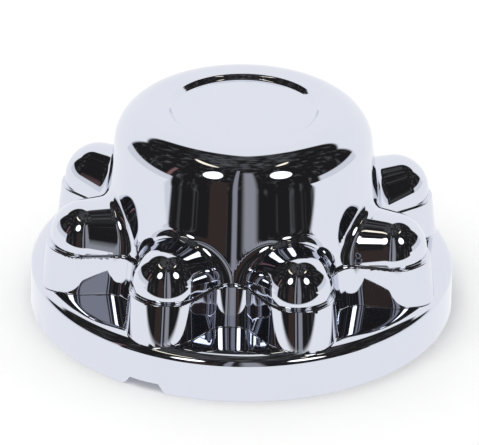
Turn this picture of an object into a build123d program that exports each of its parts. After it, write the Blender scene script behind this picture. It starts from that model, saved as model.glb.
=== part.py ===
"""One-piece moulded hub cover: a drum on a rim, ringed by lug bosses.

Millimetres, +Z up along the wheel axis. The origin is on the axis, in the plane of the rim's foot.
The same form is drawn twice, at the outer skin and one wall further in, and the second is cut from the first.
"""
from build123d import *
import math
import os

os.makedirs("parts", exist_ok=True)

# Overall sizes
rim_radius = 106.0
cover_height = 104.3
wall = 2.8

# Rim: an upright band, an elliptic shoulder and a flat between the bosses
rim_draft = 1.0
rim_shoulder_width = 9.0
rim_shoulder_height = 4.8
flat_height = 23.4

# Web: the lower drum wall, seen between the bosses below the ledge
ledge_width = 3.25
web_draft = 8.0
web_fillet = 4.0

# Drum above the ledge
drum_setback = 13.05
drum_draft = 7.8
drum_top_round = 16.4

# Shallow dished centre of the top
dish_radius = 36.1
dish_depth = 2.4
dish_lip_round = 1.6
dish_floor_fillet = 0.6

# Lug bosses: a flared skirt up to the ledge, and a round-nosed dome above it, set down from the cover's top
lug_count = 8
lug_circle_diameter = 165.1
boss_flare = 15.0
skirt_top_radius = 17.8
skirt_tip_draft = 8.0
skirt_side_draft = 3.0
dome_setback = 1.5
dome_radius = 17.3
dome_drop = 40.5
dome_height = 20.2
dome_fillet = 4.5

# Grip ribs that hold the cover on the lug nuts
nut_corner_radius = 12.85
grip_squeeze = 0.15
grip_rib_width = 1.6
grip_rib_angles = (0.0, 75.0, -75.0)
grip_rib_foot = 24.0
grip_rib_top = 40.0

# Pry notch in the foot of the rim
notch_angle = -112.5
notch_width = 22.0
notch_height = 4.5
notch_slope = 35.0
notch_corner_round = 1.5

# Worked out from the sizes above
lug_radius = lug_circle_diameter / 2
drum_foot_radius = lug_radius - drum_setback
dome_top_height = cover_height - dome_drop
ledge_height = dome_top_height - dome_height
crown_foot = (flat_height + ledge_height) / 2
lug_step = 360.0 / lug_count
first_lug_angle = lug_step / 2
lug_angles = [first_lug_angle + lug_step * k for k in range(lug_count)]


def slope(draft):
    """Change of radius for each millimetre of height."""
    return math.tan(math.radians(draft))


def level_shift(inset, draft):
    """How far a drafted wall moves on the level when its skin moves in by inset."""
    return inset / math.cos(math.radians(draft))


def on_lugs(shape):
    """Copies of a shape drawn on the +X side, one at each lug."""
    return [Rot(0, 0, angle) * shape for angle in lug_angles]


def turned(corners, rounds):
    """Solid turned from a half section, with the corners named in rounds filleted."""
    section = make_face(Polyline(*corners, close=True))
    for index, radius in rounds:
        x, y = corners[index]
        vertex = section.vertices().sort_by_distance((x, y, 0))[0]
        section = fillet(vertex, radius)
    return revolve(Plane.XZ * section, Axis.Z)


def drum(inset):
    """Drafted drum with a rounded top and a dished centre, down to the flat of the rim."""
    top = cover_height - inset
    dish_floor = top - dish_depth
    dish_edge = dish_radius + inset
    ledge_radius = drum_foot_radius - level_shift(inset, drum_draft)
    top_radius = ledge_radius - slope(drum_draft) * (top - ledge_height)
    foot_radius = ledge_radius + slope(drum_draft) * (ledge_height + dome_radius)
    corners = [
        (0, -dome_radius),
        (foot_radius, -dome_radius),
        (top_radius, top),
        (dish_edge, top),
        (dish_edge, dish_floor),
        (0, dish_floor),
    ]
    lip_round = max(dish_lip_round - inset, dish_floor_fillet)
    return turned(corners, [(2, drum_top_round - inset), (3, lip_round), (4, dish_floor_fillet)])


def rim(inset):
    """Upright band and shoulder up to the flat, open below where the skin is set in."""
    top = flat_height - inset
    foot = -inset
    shoulder_width = rim_shoulder_width - inset
    shoulder_height = rim_shoulder_height - inset
    band_top = top - shoulder_height
    level_radius = rim_radius - level_shift(inset, rim_draft)
    foot_radius = level_radius - slope(rim_draft) * foot
    band_radius = level_radius - slope(rim_draft) * band_top
    flat_radius = band_radius - shoulder_width
    outline = [
        Line((0, foot), (foot_radius, foot)),
        Line((foot_radius, foot), (band_radius, band_top)),
        EllipticalCenterArc((flat_radius, band_top), shoulder_width, shoulder_height, arc_size=90),
        Line((flat_radius, top), (0, top)),
        Line((0, top), (0, foot)),
    ]
    return revolve(Plane.XZ * make_face(outline), Axis.Z)


def dome(inset):
    """Boss above the ledge: a round nose and a level ridge that widens towards the drum."""
    nose_radius = dome_radius - inset
    nose_x = lug_radius - dome_setback
    nose_z = dome_top_height - dome_radius
    reach = nose_x - drum_foot_radius / 2
    growth = reach * math.sin(math.radians(boss_flare))
    axis_length = math.hypot(reach, growth)
    tilt = math.asin(growth / axis_length)
    tail_radius = nose_radius + growth
    nose_joint = (nose_radius * math.sin(tilt), nose_radius * math.cos(tilt))
    tail_joint = (tail_radius * math.sin(tilt) - axis_length, tail_radius * math.cos(tilt))
    half_turn = (math.pi / 2 - tilt) / 2
    nose_middle = (nose_radius * math.cos(half_turn), nose_radius * math.sin(half_turn))
    outline = [
        ThreePointArc((nose_radius, 0), nose_middle, nose_joint),
        Line(nose_joint, tail_joint),
        Line(tail_joint, (tail_joint[0], 0)),
        Line((tail_joint[0], 0), (nose_radius, 0)),
    ]
    body = revolve(Plane.XZ * make_face(outline), Axis.X)
    return Pos(nose_x, 0, nose_z) * Rot(0, -math.degrees(tilt), 0) * body


def crown(inset):
    """Drum and domes, blended where they meet, down to inside the skirts."""
    body = drum(inset) + on_lugs(dome(inset))
    seams = [e for e in body.edges() if e.geom_type not in (GeomType.CIRCLE, GeomType.LINE)]
    body = fillet(seams, dome_fillet + inset)
    return split(body, Plane.XY.offset(crown_foot - inset), keep=Keep.TOP)


def skirt_outline(height, inset):
    """Level outline of the web and the eight skirts at a height."""
    drop = ledge_height - height
    web = drum_foot_radius + ledge_width + slope(web_draft) * drop - level_shift(inset, web_draft)
    tip_shift = (slope(skirt_tip_draft) - slope(skirt_side_draft)) * drop
    nose_x = lug_radius + tip_shift
    nose = skirt_top_radius + slope(skirt_side_draft) * drop - level_shift(inset, skirt_side_draft)
    blend = web_fillet + inset
    flare = math.radians(boss_flare)
    out_x = math.sin(flare)
    out_y = math.cos(flare)
    # Centre of the blend between flank and web: on the flank moved out, on the web circle grown
    start_x = nose_x + (nose + blend) * out_x
    start_y = (nose + blend) * out_y
    half = -start_x * out_y + start_y * out_x
    rest = start_x ** 2 + start_y ** 2 - (web + blend) ** 2
    run = -half - math.sqrt(half ** 2 - rest)
    blend_x = start_x - run * out_y
    blend_y = start_y + run * out_x
    flank_end = (blend_x - blend * out_x, blend_y - blend * out_y)
    web_share = web / (web + blend)
    web_end = (blend_x * web_share, blend_y * web_share)
    bisect_x = (flank_end[0] + web_end[0]) / 2 - blend_x
    bisect_y = (flank_end[1] + web_end[1]) / 2 - blend_y
    bisect = math.hypot(bisect_x, bisect_y)
    blend_middle = (blend_x + blend * bisect_x / bisect, blend_y + blend * bisect_y / bisect)
    tip_start = (nose_x + nose * out_x, -nose * out_y)
    tip_end = (nose_x + nose * out_x, nose * out_y)
    half_step = math.radians(lug_step / 2)
    web_middle = (web * math.cos(half_step), web * math.sin(half_step))
    turn = math.radians(lug_step)
    next_web = (
        web_end[0] * math.cos(turn) + web_end[1] * math.sin(turn),
        web_end[0] * math.sin(turn) - web_end[1] * math.cos(turn),
    )

    def mirrored(point):
        return (point[0], -point[1])

    sector = [
        ThreePointArc(mirrored(web_end), mirrored(blend_middle), mirrored(flank_end)),
        Line(mirrored(flank_end), tip_start),
        ThreePointArc(tip_start, (nose_x + nose, 0), tip_end),
        Line(tip_end, flank_end),
        ThreePointArc(flank_end, blend_middle, web_end),
        ThreePointArc(web_end, web_middle, next_web),
    ]
    edges = [copy for edge in sector for copy in on_lugs(edge)]
    return Pos(0, 0, height) * Wire(edges)


def skirts(inset):
    """Web and skirts, from inside the rim up to the ledge."""
    root = skirt_outline(flat_height / 2, inset)
    ledge = skirt_outline(ledge_height - inset, inset)
    return Solid.make_loft([root, ledge], ruled=True)


def form(inset):
    """Whole cover as a filled form, with its skin moved in by inset."""
    return crown(inset) + skirts(inset) + rim(inset)


def grip_ribs():
    """Upright ribs in every boss that reach in from the wall to the corners of the lug nut."""
    height = grip_rib_top - grip_rib_foot
    reach = 2 * skirt_top_radius
    blade = Box(reach, grip_rib_width, height, align=(Align.MIN, Align.CENTER, Align.MIN))
    nut_face = Pos(nut_corner_radius - grip_squeeze, 0, grip_rib_foot)
    fan = [Pos(lug_radius, 0, 0) * Rot(0, 0, angle) * nut_face * blade for angle in grip_rib_angles]
    blades = [copy for rib in fan for copy in on_lugs(rib)]
    return skirts(0) & blades


def pry_notch():
    """Cutter for the notch in the foot of the rim, with sloping ends and rounded corners."""
    half_foot = notch_width / 2
    half_top = half_foot - notch_height * slope(notch_slope)
    corners = [
        (-half_foot, 0),
        (-half_top, notch_height),
        (half_top, notch_height),
        (half_foot, 0),
    ]
    opening = make_face(Polyline(*corners, close=True))
    top_corners = opening.vertices().group_by(Axis.Y)[-1]
    opening = fillet(top_corners, notch_corner_round)
    through = 2 * (wall + notch_height)
    cutter = extrude(Plane.YZ.offset(rim_radius - through / 2) * opening, through)
    return Rot(0, 0, notch_angle) * cutter


hub_cover = form(0) - form(wall) + grip_ribs() - pry_notch()
export_step(hub_cover, "parts/hub_cover.step")
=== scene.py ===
import bpy
import math
import numpy as np
from mathutils import Matrix, Vector


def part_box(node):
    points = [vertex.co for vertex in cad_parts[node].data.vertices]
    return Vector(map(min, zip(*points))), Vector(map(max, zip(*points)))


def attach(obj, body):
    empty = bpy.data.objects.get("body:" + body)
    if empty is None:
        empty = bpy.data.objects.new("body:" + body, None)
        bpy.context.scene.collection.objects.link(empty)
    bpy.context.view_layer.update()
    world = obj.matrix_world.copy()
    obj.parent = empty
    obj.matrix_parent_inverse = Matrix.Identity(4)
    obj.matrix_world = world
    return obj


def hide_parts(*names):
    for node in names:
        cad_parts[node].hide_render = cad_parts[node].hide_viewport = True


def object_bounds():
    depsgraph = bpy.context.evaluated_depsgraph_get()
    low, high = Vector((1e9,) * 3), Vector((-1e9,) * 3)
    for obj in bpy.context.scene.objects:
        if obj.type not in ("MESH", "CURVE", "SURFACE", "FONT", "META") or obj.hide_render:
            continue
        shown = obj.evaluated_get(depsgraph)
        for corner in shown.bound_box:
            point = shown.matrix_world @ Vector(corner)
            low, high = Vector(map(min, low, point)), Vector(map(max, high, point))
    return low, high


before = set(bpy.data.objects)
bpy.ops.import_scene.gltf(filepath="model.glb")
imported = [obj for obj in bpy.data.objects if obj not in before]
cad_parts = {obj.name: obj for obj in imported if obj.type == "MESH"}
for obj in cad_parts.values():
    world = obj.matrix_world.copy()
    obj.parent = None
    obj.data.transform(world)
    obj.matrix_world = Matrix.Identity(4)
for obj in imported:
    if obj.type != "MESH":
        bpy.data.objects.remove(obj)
cad_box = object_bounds()

# Sizes in metres, as the moulded cover is made. The rim and the height come from the frame.
cover_low, cover_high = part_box("hub_cover")
RIM_RADIUS = (cover_high[0] - cover_low[0]) / 2
COVER_HEIGHT = cover_high[2]
WALL = 0.0028

RIM_DRAFT = math.radians(1.0)
SHOULDER_WIDTH = 0.0090
SHOULDER_HEIGHT = 0.0048
FLAT_HEIGHT = 0.0234

WEB_FOOT_RADIUS = 0.0756
WEB_DRAFT = math.radians(8.0)
WEB_FILLET = 0.0040
LEDGE_HEIGHT = 0.0436

DRUM_FOOT_RADIUS = 0.0695
DRUM_DRAFT = math.radians(7.8)
DRUM_TOP_ROUND = 0.0164

DISH_RADIUS = 0.0361
DISH_DEPTH = 0.0024
DISH_LIP_WIDTH = 0.0034

LUG_COUNT = 8
LUG_RADIUS = 0.1651 / 2
BOSS_FLARE = math.radians(15.0)
SKIRT_TOP_RADIUS = 0.0178
SKIRT_TIP_DRAFT = math.radians(8.0)
SKIRT_SIDE_DRAFT = math.radians(3.0)
DOME_SETBACK = 0.0015
DOME_RADIUS = 0.0173
DOME_TOP_HEIGHT = 0.0638
DOME_FILLET = 0.0045

LEDGE_EDGE_ROUND = 0.0006
LEDGE_FILLET = 0.0006
FOOT_FILLET = 0.0005

RIB_WIDTH = 0.0016
RIB_FOOT = 0.0240
RIB_TOP = 0.0400
RIB_START = 0.0127
RIB_END = 0.0172
RIB_ANGLES = (0.0, math.radians(75.0), math.radians(-75.0))

NOTCH_ANGLE = math.radians(-112.5)
NOTCH_WIDTH = 0.0220
NOTCH_HEIGHT = 0.0045
NOTCH_SLOPE = math.radians(35.0)

# Grid of the modelled skin
HALF_SECTOR_COLUMNS = 43
COLUMN_SHARES = (0.0, 0.32, 0.80, 1.0)
COLUMN_STOPS = (0.0, 0.29, 0.60, 1.0)
OUTER_ROWS = 120
INNER_ROWS = 22
ANCHOR_HEIGHT = -0.040
BEND_WEIGHT = 0.016
SMOOTHING_PASSES = 1


def round_join(first, second, radius):
    """Union of two fields with a concave fillet between them."""
    reach_first = np.maximum(radius - first, 0.0)
    reach_second = np.maximum(radius - second, 0.0)
    return np.maximum(radius, np.minimum(first, second)) - np.hypot(reach_first, reach_second)


def round_meet(first, second, radius):
    """Intersection of two fields with a convex round between them."""
    reach_first = np.maximum(radius + first, 0.0)
    reach_second = np.maximum(radius + second, 0.0)
    return np.minimum(-radius, np.maximum(first, second)) + np.hypot(reach_first, reach_second)


def drum_field(rho, z):
    """Drafted drum with a rounded top edge and a dished centre."""
    wall = (rho - DRUM_FOOT_RADIUS + math.tan(DRUM_DRAFT) * (z - LEDGE_HEIGHT)) * math.cos(DRUM_DRAFT)
    lip = np.clip((DISH_RADIUS + DISH_LIP_WIDTH / 2 - rho) / DISH_LIP_WIDTH, 0.0, 1.0)
    dish = DISH_DEPTH * lip * lip * (3.0 - 2.0 * lip)
    return round_meet(wall, z - COVER_HEIGHT + dish, DRUM_TOP_ROUND)


def dome_field(x, y, z):
    """Round-nosed boss whose level ridge widens towards the drum."""
    tilt = math.atan(math.sin(BOSS_FLARE))
    from_nose_x = x - (LUG_RADIUS - DOME_SETBACK)
    from_nose_z = z - (DOME_TOP_HEIGHT - DOME_RADIUS)
    along = -from_nose_x * math.cos(tilt) - from_nose_z * math.sin(tilt)
    across = np.hypot(y, from_nose_z * math.cos(tilt) - from_nose_x * math.sin(tilt))
    nose = np.hypot(along, across) - DOME_RADIUS
    ridge = across * math.cos(tilt) - along * math.sin(tilt) - DOME_RADIUS
    return np.where(along * math.cos(tilt) + across * math.sin(tilt) < 0.0, nose, ridge)


def skirt_field(x, y, rho, z):
    """Web and flared skirt below the ledge."""
    drop = LEDGE_HEIGHT - z
    lean = math.tan(SKIRT_TIP_DRAFT) - math.tan(SKIRT_SIDE_DRAFT)
    nose = SKIRT_TOP_RADIUS + math.tan(SKIRT_SIDE_DRAFT) * drop
    from_nose = x - LUG_RADIUS - lean * drop
    tip = np.hypot(from_nose, y) - nose
    flank = from_nose * math.sin(BOSS_FLARE) + y * math.cos(BOSS_FLARE) - nose
    past_tip = y * math.sin(BOSS_FLARE) - from_nose * math.cos(BOSS_FLARE)
    boss = np.where(past_tip > 0.0, flank, tip)
    web = rho - WEB_FOOT_RADIUS + math.tan(WEB_DRAFT) * (z - FLAT_HEIGHT)
    return round_meet(round_join(boss, web, WEB_FILLET), -drop, LEDGE_EDGE_ROUND)


def rim_field(rho, z):
    """Upright band, elliptic shoulder and flat."""
    band_top = FLAT_HEIGHT - SHOULDER_HEIGHT
    band_radius = RIM_RADIUS - math.tan(RIM_DRAFT) * band_top
    band = rho - RIM_RADIUS + math.tan(RIM_DRAFT) * z
    across = (rho - band_radius + SHOULDER_WIDTH) / SHOULDER_WIDTH
    up = (z - band_top) / SHOULDER_HEIGHT
    size = np.maximum(np.hypot(across, up), 1e-6)
    steepness = np.hypot(across / SHOULDER_WIDTH, up / SHOULDER_HEIGHT) / size
    shoulder = (size - 1.0) / np.maximum(steepness, 1e-6)
    return np.where((across > 0.0) & (up > 0.0), shoulder, np.maximum(band, z - FLAT_HEIGHT))


def cover_field(points):
    """Signed distance, about, from the outer skin of the cover; the first boss lies on +X."""
    step = 2.0 * math.pi / LUG_COUNT
    rho = np.hypot(points[..., 0], points[..., 1])
    angle = np.arctan2(points[..., 1], points[..., 0])
    turned = np.abs(angle - step * np.round(angle / step))
    x = rho * np.cos(turned)
    y = rho * np.sin(turned)
    z = points[..., 2]
    crown = round_join(drum_field(rho, z), dome_field(x, y, z), DOME_FILLET)
    lower = round_join(skirt_field(x, y, rho, z), rim_field(rho, z), FOOT_FILLET)
    return round_join(crown, lower, LEDGE_FILLET)


def rays_to_skin(angles, tilts, depth):
    """Points where rays from the anchor on the axis meet the skin that lies depth inside the outer one."""
    direction = np.stack([
        np.sin(tilts) * np.cos(angles),
        np.sin(tilts) * np.sin(angles),
        np.cos(tilts),
    ], axis=-1)
    anchor = np.array([0.0, 0.0, ANCHOR_HEIGHT])
    near = np.zeros(tilts.shape)
    far = np.full(tilts.shape, 2.0 * (RIM_RADIUS + COVER_HEIGHT))
    for _ in range(44):
        middle = (near + far) / 2.0
        inside = cover_field(anchor + direction * middle[..., None]) < -depth
        near = np.where(inside, middle, near)
        far = np.where(inside, far, middle)
    return anchor + direction * ((near + far) / 2.0)[..., None]


def skin_normals(points):
    """Outward unit normals of the skin."""
    gap = 1e-5
    slopes = []
    for axis in range(3):
        shift = np.zeros(3)
        shift[axis] = gap
        slopes.append(cover_field(points + shift) - cover_field(points - shift))
    normals = np.stack(slopes, axis=-1)
    return normals / np.linalg.norm(normals, axis=-1, keepdims=True)


def half_sector(depth, rows):
    """Skin from a boss's middle to the middle of the web, with rows gathered where it bends."""
    foot_radius = RIM_RADIUS - depth
    last_tilt = math.atan2(foot_radius, -ANCHOR_HEIGHT)
    spread = np.linspace(0.0, 1.0, HALF_SECTOR_COLUMNS + 1)
    angles = np.interp(spread, COLUMN_SHARES, COLUMN_STOPS) * math.pi / LUG_COUNT
    fine_tilts = np.linspace(0.002, last_tilt, 4000)
    spread_angles, spread_tilts = np.meshgrid(angles, fine_tilts, indexing="ij")
    fine = rays_to_skin(spread_angles, spread_tilts, depth)
    fine_normals = skin_normals(fine)
    run = np.linalg.norm(np.diff(fine, axis=1), axis=-1)
    bend = np.linalg.norm(np.diff(fine_normals, axis=1), axis=-1)
    density = run + BEND_WEIGHT * bend
    for _ in range(SMOOTHING_PASSES):
        beside = np.concatenate([density[1:2], density, density[-2:-1]])
        density = (beside[:-2] + 2.0 * beside[1:-1] + beside[2:]) / 4.0
    weight = np.cumsum(density, axis=1)
    weight = np.concatenate([np.zeros((len(angles), 1)), weight], axis=1)
    tilts = np.empty((len(angles), rows))
    for column in range(len(angles)):
        wanted = np.linspace(0.0, weight[column, -1], rows)
        tilts[column] = np.interp(wanted, weight[column], fine_tilts)
    points = rays_to_skin(np.repeat(angles[:, None], rows, axis=1), tilts, depth)
    return points, skin_normals(points)


def turned_about_axis(vectors, angle):
    """Vectors turned about the wheel axis."""
    cosine = math.cos(angle)
    sine = math.sin(angle)
    x = vectors[..., 0] * cosine - vectors[..., 1] * sine
    y = vectors[..., 0] * sine + vectors[..., 1] * cosine
    return np.stack([x, y, vectors[..., 2]], axis=-1)


def whole_ring(depth, rows):
    """Full ring of columns from mirrored copies of the half sector, starting at the first boss."""
    points, normals = half_sector(depth, rows)
    flip = np.array([1.0, -1.0, 1.0])
    sector_points = np.concatenate([points[:0:-1] * flip, points[:-1]])
    sector_normals = np.concatenate([normals[:0:-1] * flip, normals[:-1]])
    step = 2.0 * math.pi / LUG_COUNT
    turns = [step * (k + 0.5) for k in range(LUG_COUNT)]
    ring = np.concatenate([turned_about_axis(sector_points, turn) for turn in turns])
    ring_normals = np.concatenate([turned_about_axis(sector_normals, turn) for turn in turns])
    return ring, ring_normals


def notch_lift(angles):
    """Height of the rim's foot at each angle: nought, but raised in the pry notch."""
    away = np.abs((angles - NOTCH_ANGLE + math.pi) % (2.0 * math.pi) - math.pi) * RIM_RADIUS
    rise = (NOTCH_WIDTH / 2 - away) / math.tan(NOTCH_SLOPE)
    return np.clip(rise, 0.0, NOTCH_HEIGHT)


def lift_foot(ring):
    """Band of the rim squeezed up to leave the notch open."""
    band_top = FLAT_HEIGHT - SHOULDER_HEIGHT - WALL
    lift = notch_lift(np.arctan2(ring[:, -1, 1], ring[:, -1, 0]))[:, None]
    height = ring[..., 2]
    outside = np.hypot(ring[..., 0], ring[..., 1]) > RIM_RADIUS - 2.0 * WALL
    squeezed = lift + height * (band_top - lift) / band_top
    ring[..., 2] = np.where(outside & (height < band_top), squeezed, height)
    return ring


def strip_faces(columns, rows, start, flipped):
    """Quads of a closed ring of columns."""
    column, row = np.meshgrid(np.arange(columns), np.arange(rows - 1), indexing="ij")
    following = (column + 1) % columns
    corners = np.stack([
        start + column * rows + row,
        start + column * rows + row + 1,
        start + following * rows + row + 1,
        start + following * rows + row,
    ], axis=-1).reshape(-1, 4)
    if flipped:
        corners = corners[:, ::-1]
    return corners


def rib_blocks():
    """Corner points and faces of the grip ribs inside the bosses."""
    points = []
    faces = []
    step = 2.0 * math.pi / LUG_COUNT
    order = [(0, 1, 3, 2), (4, 6, 7, 5), (0, 4, 5, 1), (2, 3, 7, 6), (0, 2, 6, 4), (1, 5, 7, 3)]
    for lug in range(LUG_COUNT):
        for rib_angle in RIB_ANGLES:
            first = len(points)
            for height in (RIB_FOOT, RIB_TOP):
                for side in (-RIB_WIDTH / 2, RIB_WIDTH / 2):
                    for reach in (RIB_START, RIB_END):
                        corner = turned_about_axis(np.array([reach, side, height]), rib_angle)
                        corner[0] += LUG_RADIUS
                        points.append(turned_about_axis(corner, step * (lug + 0.5)))
            faces += [tuple(first + index for index in face) for face in order]
    return np.array(points), faces


def build_cover_skin():
    """Closed mesh of the plated cover: outer skin, inner skin and the foot that joins them."""
    outer, outer_normals = whole_ring(0.0, OUTER_ROWS)
    inner, inner_normals = whole_ring(WALL, INNER_ROWS)
    outer = lift_foot(outer)
    inner = lift_foot(inner)
    columns = len(outer)
    outer_count = columns * OUTER_ROWS
    inner_count = columns * INNER_ROWS
    poles = np.array([[0.0, 0.0, outer[0, 0, 2]], [0.0, 0.0, inner[0, 0, 2]]])
    ribs, rib_faces = rib_blocks()
    points = np.concatenate([outer.reshape(-1, 3), inner.reshape(-1, 3), poles, ribs])
    normals = np.concatenate([outer_normals.reshape(-1, 3), -inner_normals.reshape(-1, 3)])
    outer_quads = strip_faces(columns, OUTER_ROWS, 0, False)
    inner_quads = strip_faces(columns, INNER_ROWS, outer_count, True)
    top_pole = outer_count + inner_count
    first_rib = top_pole + len(poles)
    foot_quads = []
    pole_fans = []
    for column in range(columns):
        following = (column + 1) % columns
        foot_quads.append((
            column * OUTER_ROWS + OUTER_ROWS - 1,
            outer_count + column * INNER_ROWS + INNER_ROWS - 1,
            outer_count + following * INNER_ROWS + INNER_ROWS - 1,
            following * OUTER_ROWS + OUTER_ROWS - 1,
        ))
        pole_fans.append((top_pole, column * OUTER_ROWS, following * OUTER_ROWS))
        pole_fans.append((top_pole + 1, outer_count + following * INNER_ROWS, outer_count + column * INNER_ROWS))
    faces = [tuple(quad) for quad in outer_quads.tolist()]
    faces += [tuple(quad) for quad in inner_quads.tolist()]
    smooth_quads = len(faces)
    faces += pole_fans
    smooth_faces = len(faces)
    faces += foot_quads
    faces += [tuple(first_rib + index for index in face) for face in rib_faces]
    mesh = bpy.data.meshes.new("plated_cover")
    mesh.from_pydata(points.tolist(), [], faces)
    mesh.polygons.foreach_set("use_smooth", [index < smooth_faces for index in range(len(faces))])
    mesh.update()
    corner_vertices = np.empty(len(mesh.loops), dtype=np.int32)
    mesh.loops.foreach_get("vertex_index", corner_vertices)
    corner_normals = np.zeros((len(mesh.loops), 3))
    quad_corners = smooth_quads * 4
    corner_normals[:quad_corners] = normals[corner_vertices[:quad_corners]]
    fan_corners = quad_corners + len(pole_fans) * 3
    fan_up = np.tile([[0.0, 0.0, 1.0]] * 3 + [[0.0, 0.0, -1.0]] * 3, (columns, 1))
    corner_normals[quad_corners:fan_corners] = fan_up
    mesh.normals_split_custom_set(corner_normals.tolist())
    cover = bpy.data.objects.new("plated_cover", mesh)
    bpy.context.scene.collection.objects.link(cover)
    return cover


def new_node(tree, kind, **settings):
    """Node of a kind with its settings."""
    node = tree.nodes.new(kind)
    for name, value in settings.items():
        setattr(node, name, value)
    return node


def feed(tree, socket, source):
    """Input fed by another node's output, or set to a constant."""
    if isinstance(source, bpy.types.NodeSocket):
        tree.links.new(source, socket)
    else:
        socket.default_value = source


def calc(tree, operation, first, second=0.0):
    """Result of one sum."""
    node = new_node(tree, "ShaderNodeMath", operation=operation)
    feed(tree, node.inputs[0], first)
    feed(tree, node.inputs[1], second)
    return node.outputs[0]


def ramp(tree, value, low, high, out_low=0.0, out_high=1.0):
    """Smooth change from one value to another between two limits."""
    node = new_node(tree, "ShaderNodeMapRange", interpolation_type="SMOOTHSTEP")
    for socket, source in zip(node.inputs, (value, low, high, out_low, out_high)):
        feed(tree, socket, source)
    return node.outputs[0]


def above(tree, value, edge, soft):
    """Mask that is one where a value is over an edge."""
    return ramp(tree, value, edge - soft, edge + soft)


def below(tree, value, edge, soft):
    """Mask that is one where a value is under an edge."""
    return ramp(tree, value, edge - soft, edge + soft, 1.0, 0.0)


def both(tree, *masks):
    """Product of masks."""
    result = masks[0]
    for mask in masks[1:]:
        result = calc(tree, "MULTIPLY", result, mask)
    return result


def either(tree, first, second):
    """Larger of two masks."""
    return calc(tree, "MAXIMUM", first, second)


def lay_over(tree, under, colour, mask):
    """Colour laid over another where the mask says so."""
    node = new_node(tree, "ShaderNodeMix", data_type="RGBA")
    feed(tree, node.inputs[0], mask)
    feed(tree, node.inputs[6], under)
    feed(tree, node.inputs[7], colour)
    return node.outputs[2]


def card_mask(tree, azimuth, elevation, centre, half, soft):
    """Mask of an upright card in the studio, in degrees of azimuth and elevation."""
    return both(
        tree,
        above(tree, azimuth, centre[0] - half[0], soft),
        below(tree, azimuth, centre[0] + half[0], soft),
        above(tree, elevation, centre[1] - half[1], soft),
        below(tree, elevation, centre[1] + half[1], soft),
    )


def lamp_mask(tree, azimuth, elevation, centre, half):
    """Mask of a round lamp with a soft edge."""
    across = calc(tree, "DIVIDE", calc(tree, "SUBTRACT", azimuth, centre[0]), half[0])
    up = calc(tree, "DIVIDE", calc(tree, "SUBTRACT", elevation, centre[1]), half[1])
    away = calc(tree, "ADD", calc(tree, "MULTIPLY", across, across), calc(tree, "MULTIPLY", up, up))
    return below(tree, away, 1.0, 0.22)


BACKDROP_WHITE = (1.0, 1.0, 1.0, 1.0)
SIDE_WHITE = (0.80, 0.81, 0.84, 1.0)
SHEET_WHITE = (1.0, 1.0, 1.0, 1.0)
STUDIO_DARK = (0.016, 0.015, 0.015, 1.0)
CEILING_GREY = (0.10, 0.10, 0.10, 1.0)
LAMP_WHITE = (2.6, 2.6, 2.6, 1.0)
WARM_LAMP = (1.5, 1.35, 1.05, 1.0)
STAND_GREY = (0.32, 0.32, 0.34, 1.0)
STAND_EDGE = (0.30, 0.30, 0.33, 1.0)
BROWN_BOARD = (0.045, 0.031, 0.026, 1.0)
RED_BOARD = (0.26, 0.14, 0.14, 1.0)
EVEN_LIGHT = (0.86, 0.86, 0.86, 1.0)
PAPER = (0.97, 0.97, 0.97, 1.0)

# Cards in front of the cover: colour, centre and half size in degrees of azimuth and elevation, softness
FRONT_CARDS = (
    (BROWN_BOARD, (-17.0, -5.0), (7.5, 33.0), 1.0),
    (STAND_EDGE, (-3.0, 15.0), (2.0, 48.0), 0.8),
    (STAND_GREY, (9.5, 15.0), (5.5, 42.0), 2.5),
    (RED_BOARD, (-64.5, 5.0), (1.8, 30.0), 1.2),
)
ROUND_LAMPS = (((-28.0, 43.5), (10.0, 10.0)), ((43.0, 42.5), (11.0, 10.0)))
LINE_LAMPS = (((-62.0, 66.0), (26.0, 1.8)), ((72.0, 66.0), (14.0, 1.6)))

# The white sheet ends this far in front of the cover's middle, and widens by this much towards the sides
SHEET_EDGE = -0.18
SHEET_SPREAD = 1.9


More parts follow.
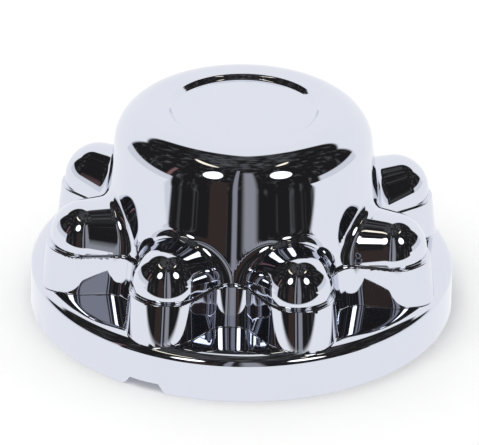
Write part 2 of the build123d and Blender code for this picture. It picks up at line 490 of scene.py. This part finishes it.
def studio_colour(tree, direction):
    """What lies round the cover: white behind and beside it, dark in front, with lamps."""
    split = new_node(tree, "ShaderNodeSeparateXYZ")
    tree.links.new(direction, split.inputs[0])
    forward = calc(tree, "MULTIPLY", split.outputs[1], -1.0)
    azimuth = calc(tree, "DEGREES", calc(tree, "ARCTAN2", split.outputs[0], forward))
    elevation = calc(tree, "DEGREES", calc(tree, "ARCSINE", split.outputs[2]))
    turned = calc(tree, "ABSOLUTE", azimuth)

    grain = new_node(tree, "ShaderNodeTexNoise")
    stretch = new_node(tree, "ShaderNodeMapping")
    stretch.inputs["Scale"].default_value = (1.0, 1.0, 0.12)
    tree.links.new(direction, stretch.inputs["Vector"])
    tree.links.new(stretch.outputs[0], grain.inputs["Vector"])
    grain.inputs["Scale"].default_value = 11.0
    grain.inputs["Detail"].default_value = 3.0
    clutter = ramp(tree, grain.outputs["Fac"], 0.52, 0.75)

    colour = lay_over(tree, STUDIO_DARK, CEILING_GREY, both(tree, clutter, above(tree, elevation, -30.0, 4.0)))
    ceiling_front = both(tree, above(tree, elevation, 66.0, 6.0), ramp(tree, grain.outputs["Fac"], 0.35, 0.65))
    colour = lay_over(tree, colour, CEILING_GREY, ceiling_front)

    for card, centre, half, soft in FRONT_CARDS:
        colour = lay_over(tree, colour, card, card_mask(tree, azimuth, elevation, centre, half, soft))

    side_wall = both(
        tree,
        either(tree, below(tree, azimuth, -60.0, 1.5), above(tree, azimuth, 72.0, 2.0)),
        below(tree, elevation, 12.0, 1.5),
    )
    colour = lay_over(tree, colour, SIDE_WHITE, side_wall)

    backdrop_top = ramp(tree, turned, 112.0, 180.0, 34.0, 70.0)
    backdrop = both(
        tree,
        above(tree, turned, 118.0, 2.0),
        below(tree, calc(tree, "SUBTRACT", elevation, backdrop_top), 0.0, 2.0),
    )
    colour = lay_over(tree, colour, BACKDROP_WHITE, backdrop)

    for centre, half in ROUND_LAMPS:
        colour = lay_over(tree, colour, LAMP_WHITE, lamp_mask(tree, azimuth, elevation, centre, half))
    for centre, half in LINE_LAMPS:
        colour = lay_over(tree, colour, WARM_LAMP, lamp_mask(tree, azimuth, elevation, centre, half))
    return colour


def light_studio():
    """World: the studio for what metal and the camera see, and an even light for the rest."""
    world = bpy.data.worlds.new("studio")
    world.use_nodes = True
    tree = world.node_tree
    tree.nodes.clear()
    place = new_node(tree, "ShaderNodeTexCoord")
    path = new_node(tree, "ShaderNodeLightPath")
    mirrored = either(tree, path.outputs["Is Glossy Ray"], path.outputs["Is Transmission Ray"])
    seen = lay_over(tree, EVEN_LIGHT, studio_colour(tree, place.outputs["Generated"]), mirrored)
    seen = lay_over(tree, seen, BACKDROP_WHITE, path.outputs["Is Camera Ray"])
    background = new_node(tree, "ShaderNodeBackground")
    tree.links.new(seen, background.inputs["Color"])
    output = new_node(tree, "ShaderNodeOutputWorld")
    tree.links.new(background.outputs[0], output.inputs["Surface"])
    bpy.context.scene.world = world

    lamp_data = bpy.data.lights.new("soft_box", "AREA")
    lamp_data.shape = "DISK"
    lamp_data.size = 1.4
    lamp_data.energy = 7.0
    lamp = bpy.data.objects.new("soft_box", lamp_data)
    lamp.location = (-0.35, -0.25, 1.5)
    lamp.rotation_euler = Vector((-0.35, -0.25, 1.5)).to_track_quat("Z", "Y").to_euler()
    lamp.visible_glossy = False
    lamp.visible_camera = False
    bpy.context.scene.collection.objects.link(lamp)


def white_sheet():
    """Pale floor that the cover stands on; its white sheet ends in front of the cover."""
    material = bpy.data.materials.new("white_sheet")
    material.use_nodes = True
    tree = material.node_tree
    tree.nodes.clear()
    place = new_node(tree, "ShaderNodeNewGeometry")
    split = new_node(tree, "ShaderNodeSeparateXYZ")
    tree.links.new(place.outputs["Position"], split.inputs[0])
    front = below(tree, split.outputs[1], SHEET_EDGE, 0.010)
    spread = calc(tree, "MULTIPLY", split.outputs[1], -SHEET_SPREAD)
    sideways = calc(tree, "SUBTRACT", calc(tree, "ABSOLUTE", split.outputs[0]), spread)
    past_sheet = both(tree, front, below(tree, sideways, 0.0, 0.04))
    path = new_node(tree, "ShaderNodeLightPath")
    paper = new_node(tree, "ShaderNodeBsdfDiffuse")
    paper.inputs["Color"].default_value = PAPER
    shown = new_node(tree, "ShaderNodeEmission")
    shown.inputs["Color"].default_value = SHEET_WHITE
    open_edge = new_node(tree, "ShaderNodeBsdfTransparent")
    mirrored = new_node(tree, "ShaderNodeMixShader")
    tree.links.new(past_sheet, mirrored.inputs[0])
    tree.links.new(shown.outputs[0], mirrored.inputs[1])
    tree.links.new(open_edge.outputs[0], mirrored.inputs[2])
    mix = new_node(tree, "ShaderNodeMixShader")
    tree.links.new(path.outputs["Is Glossy Ray"], mix.inputs[0])
    tree.links.new(paper.outputs[0], mix.inputs[1])
    tree.links.new(mirrored.outputs[0], mix.inputs[2])
    output = new_node(tree, "ShaderNodeOutputMaterial")
    tree.links.new(mix.outputs[0], output.inputs["Surface"])
    mesh = bpy.data.meshes.new("white_sheet")
    reach = 12.0
    corners = [(-reach, -reach, 0.0), (reach, -reach, 0.0), (reach, reach, 0.0), (-reach, reach, 0.0)]
    mesh.from_pydata(corners, [], [(0, 1, 2, 3)])
    mesh.materials.append(material)
    floor = bpy.data.objects.new("white_sheet", mesh)
    floor.location.z = cad_box[0][2] - 0.0002
    bpy.context.scene.collection.objects.link(floor)


def chrome_plate():
    """Bright plating on a moulded shell: faint cool tint, slightly uneven polish, slight waviness."""
    material = bpy.data.materials.new("chrome_plate")
    material.use_nodes = True
    tree = material.node_tree
    tree.nodes.clear()
    place = new_node(tree, "ShaderNodeTexCoord")
    cloud = new_node(tree, "ShaderNodeTexNoise")
    cloud.inputs["Scale"].default_value = 38.0
    cloud.inputs["Detail"].default_value = 5.0
    wave = new_node(tree, "ShaderNodeTexNoise")
    wave.inputs["Scale"].default_value = 22.0
    wave.inputs["Detail"].default_value = 1.0
    tree.links.new(place.outputs["Object"], cloud.inputs["Vector"])
    tree.links.new(place.outputs["Object"], wave.inputs["Vector"])
    plate = new_node(tree, "ShaderNodeBsdfPrincipled")
    plate.inputs["Metallic"].default_value = 1.0
    tint = lay_over(tree, (0.70, 0.73, 0.82, 1.0), (0.73, 0.755, 0.83, 1.0), cloud.outputs["Fac"])
    tree.links.new(tint, plate.inputs["Base Color"])
    tree.links.new(ramp(tree, cloud.outputs["Fac"], 0.3, 0.75, 0.022, 0.05), plate.inputs["Roughness"])
    ripple = new_node(tree, "ShaderNodeBump")
    ripple.inputs["Strength"].default_value = 0.03
    ripple.inputs["Distance"].default_value = 0.0010
    tree.links.new(wave.outputs["Fac"], ripple.inputs["Height"])
    tree.links.new(ripple.outputs[0], plate.inputs["Normal"])
    output = new_node(tree, "ShaderNodeOutputMaterial")
    tree.links.new(plate.outputs[0], output.inputs["Surface"])
    return material


def place_camera():
    """Long lens, a little right of the front and well above, as the cover is shown."""
    azimuth = math.radians(3.332)
    elevation = math.radians(28.447)
    roll = math.radians(0.857)
    aim = Vector((0.0, 0.0, 0.0318))
    back = Vector((
        math.sin(azimuth) * math.cos(elevation),
        -math.cos(azimuth) * math.cos(elevation),
        math.sin(elevation),
    ))
    camera_data = bpy.data.cameras.new("camera")
    camera_data.sensor_width = 36.0
    camera_data.lens = 233.66
    camera_data.shift_x = -0.0054
    camera_data.shift_y = 0.0297
    camera_data.clip_start = 0.05
    camera_data.clip_end = 60.0
    camera = bpy.data.objects.new("camera", camera_data)
    turn = back.to_track_quat("Z", "Y").to_matrix().to_4x4() @ Matrix.Rotation(roll, 4, "Z")
    camera.matrix_world = Matrix.Translation(aim + back * 1.5557) @ turn
    bpy.context.scene.collection.objects.link(camera)
    bpy.context.scene.camera = camera


bpy.context.scene.view_settings.view_transform = "Standard"
cover = build_cover_skin()
cover.data.materials.append(chrome_plate())
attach(cover, "root")
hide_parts("hub_cover")
light_studio()
white_sheet()
place_camera()
